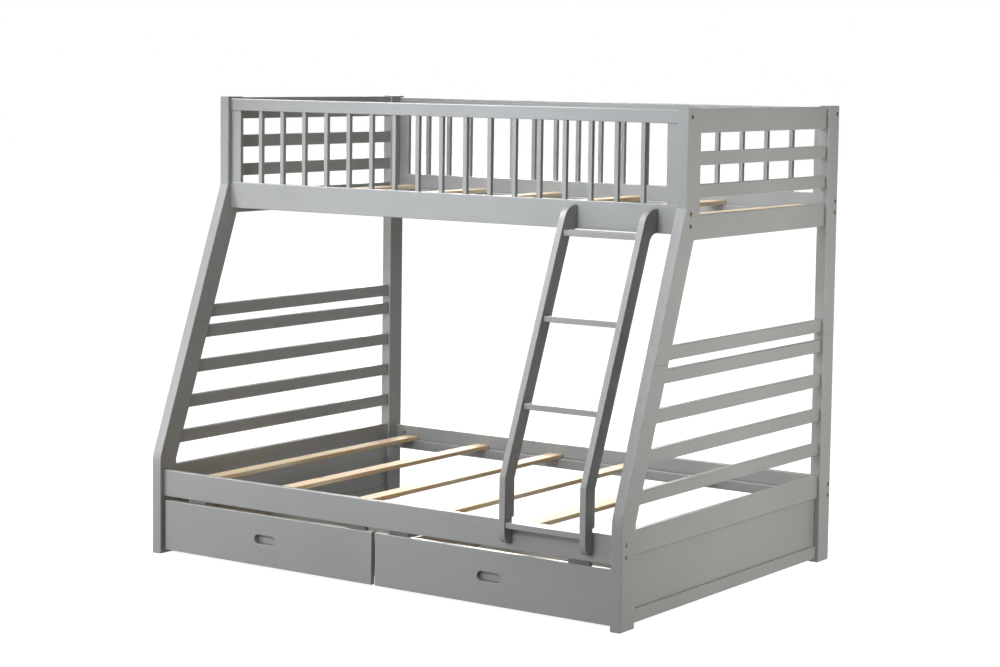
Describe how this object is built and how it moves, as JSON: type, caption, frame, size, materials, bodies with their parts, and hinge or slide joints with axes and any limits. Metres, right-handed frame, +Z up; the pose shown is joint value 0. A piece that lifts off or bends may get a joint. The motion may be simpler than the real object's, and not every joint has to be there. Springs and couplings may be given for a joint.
{
  "type": "bunk bed with ladder",
  "caption": "Grey painted pine bunk bed, twin over full, with a leaning front, a fixed ladder, guard rails and rolling drawers.",
  "frame": {"origin": "on the floor, at the centre of the bed's overall footprint, ladder included", "axes": "+X along the bed towards the ladder end, -Y out of the front where the ladder and drawers are, +Z up"},
  "size_m": [2.005, 1.466, 1.656],
  "materials": {
    "painted_pine": "satin grey paint over pine, fine grain showing through, edges slightly worn",
    "natural_pine": "bare planed pine with knots and growth rings",
    "beech": "bare fluted beech pins",
    "plywood": "thin bare plywood",
    "bronzed_steel": "bronzed bolt heads, satin",
    "zinc_steel": "bright zinc plating",
    "caster_nylon": "black moulded nylon"
  },
  "bodies": {
    "frame": {"barrel_nuts": "zinc_steel", "bed_slats_lower": "natural_pine", "bed_slats_upper": "natural_pine", "dowel_pins": "beech", "drawer_stop_blocks": "painted_pine", "end_bunk_rail_left": "painted_pine", "end_bunk_rail_right": "painted_pine", "end_lower_bottom_rail_left": "painted_pine", "end_lower_bottom_rail_right": "painted_pine", "end_lower_panel_left": "painted_pine", "end_lower_panel_right": "painted_pine", "end_lower_slats_left": "painted_pine", "end_lower_slats_right": "painted_pine", "end_lower_top_rail_left": "painted_pine", "end_lower_top_rail_right": "painted_pine", "end_top_rail_left": "painted_pine", "end_top_rail_right": "painted_pine", "end_upper_slats_left": "painted_pine", "end_upper_slats_right": "painted_pine", "frame_bolts": "bronzed_steel", "guard_spindles_back": "painted_pine", "guard_spindles_front": "painted_pine", "guard_stiles_back": "painted_pine", "guard_stiles_front": "painted_pine", "guard_top_rail_back": "painted_pine", "guard_top_rail_front": "painted_pine", "ladder_rungs": "painted_pine", "ladder_screws": "zinc_steel", "ladder_stringer_left": "painted_pine", "ladder_stringer_right": "painted_pine", "ledge_screws": "zinc_steel", "lower_back_post_left": "painted_pine", "lower_back_post_right": "painted_pine", "lower_front_post_left": "painted_pine", "lower_front_post_right": "painted_pine", "side_rail_lower_back": "painted_pine", "side_rail_lower_front": "painted_pine", "side_rail_upper_back": "painted_pine", "side_rail_upper_front": "painted_pine", "slat_ledges_lower": "painted_pine", "slat_ledges_upper": "painted_pine", "upper_back_post_left": "painted_pine", "upper_back_post_right": "painted_pine", "upper_front_post_left": "painted_pine", "upper_front_post_right": "painted_pine"},
    "drawer_left": {"drawer_left_box_ends": "painted_pine", "drawer_left_box_sides": "painted_pine", "drawer_left_caster_forks": "zinc_steel", "drawer_left_floor": "plywood", "drawer_left_front": "painted_pine"},
    "drawer_left_front_wheels": {"drawer_left_front_wheels": "caster_nylon"},
    "drawer_left_rear_wheels": {"drawer_left_rear_wheels": "caster_nylon"},
    "drawer_right": {"drawer_right_box_ends": "painted_pine", "drawer_right_box_sides": "painted_pine", "drawer_right_caster_forks": "zinc_steel", "drawer_right_floor": "plywood", "drawer_right_front": "painted_pine"},
    "drawer_right_front_wheels": {"drawer_right_front_wheels": "caster_nylon"},
    "drawer_right_rear_wheels": {"drawer_right_rear_wheels": "caster_nylon"}
  },
  "joints": [
    {"name": "drawer_left_slide", "type": "slide", "parent": "frame", "child": "drawer_left", "axis": [0, -1, 0], "range_m": [0, 0.5]},
    {"name": "drawer_left_front_wheels_roll", "type": "hinge", "parent": "drawer_left", "child": "drawer_left_front_wheels", "pos_m": [-0.4815, -0.618, 0.02], "axis": [1, 0, 0], "continuous": true},
    {"name": "drawer_left_rear_wheels_roll", "type": "hinge", "parent": "drawer_left", "child": "drawer_left_rear_wheels", "pos_m": [-0.4815, -0.168, 0.02], "axis": [1, 0, 0], "continuous": true},
    {"name": "drawer_right_slide", "type": "slide", "parent": "frame", "child": "drawer_right", "axis": [0, -1, 0], "range_m": [0, 0.5]},
    {"name": "drawer_right_front_wheels_roll", "type": "hinge", "parent": "drawer_right", "child": "drawer_right_front_wheels", "pos_m": [0.4815, -0.618, 0.02], "axis": [1, 0, 0], "continuous": true},
    {"name": "drawer_right_rear_wheels_roll", "type": "hinge", "parent": "drawer_right", "child": "drawer_right_rear_wheels", "pos_m": [0.4815, -0.168, 0.02], "axis": [1, 0, 0], "continuous": true}
  ],
  "couplings": [
    {"joint": "drawer_left_front_wheels_roll", "follows": "drawer_left_slide", "rad_per_m": 50},
    {"joint": "drawer_left_rear_wheels_roll", "follows": "drawer_left_slide", "rad_per_m": 50},
    {"joint": "drawer_right_front_wheels_roll", "follows": "drawer_right_slide", "rad_per_m": 50},
    {"joint": "drawer_right_rear_wheels_roll", "follows": "drawer_right_slide", "rad_per_m": 50}
  ]
}
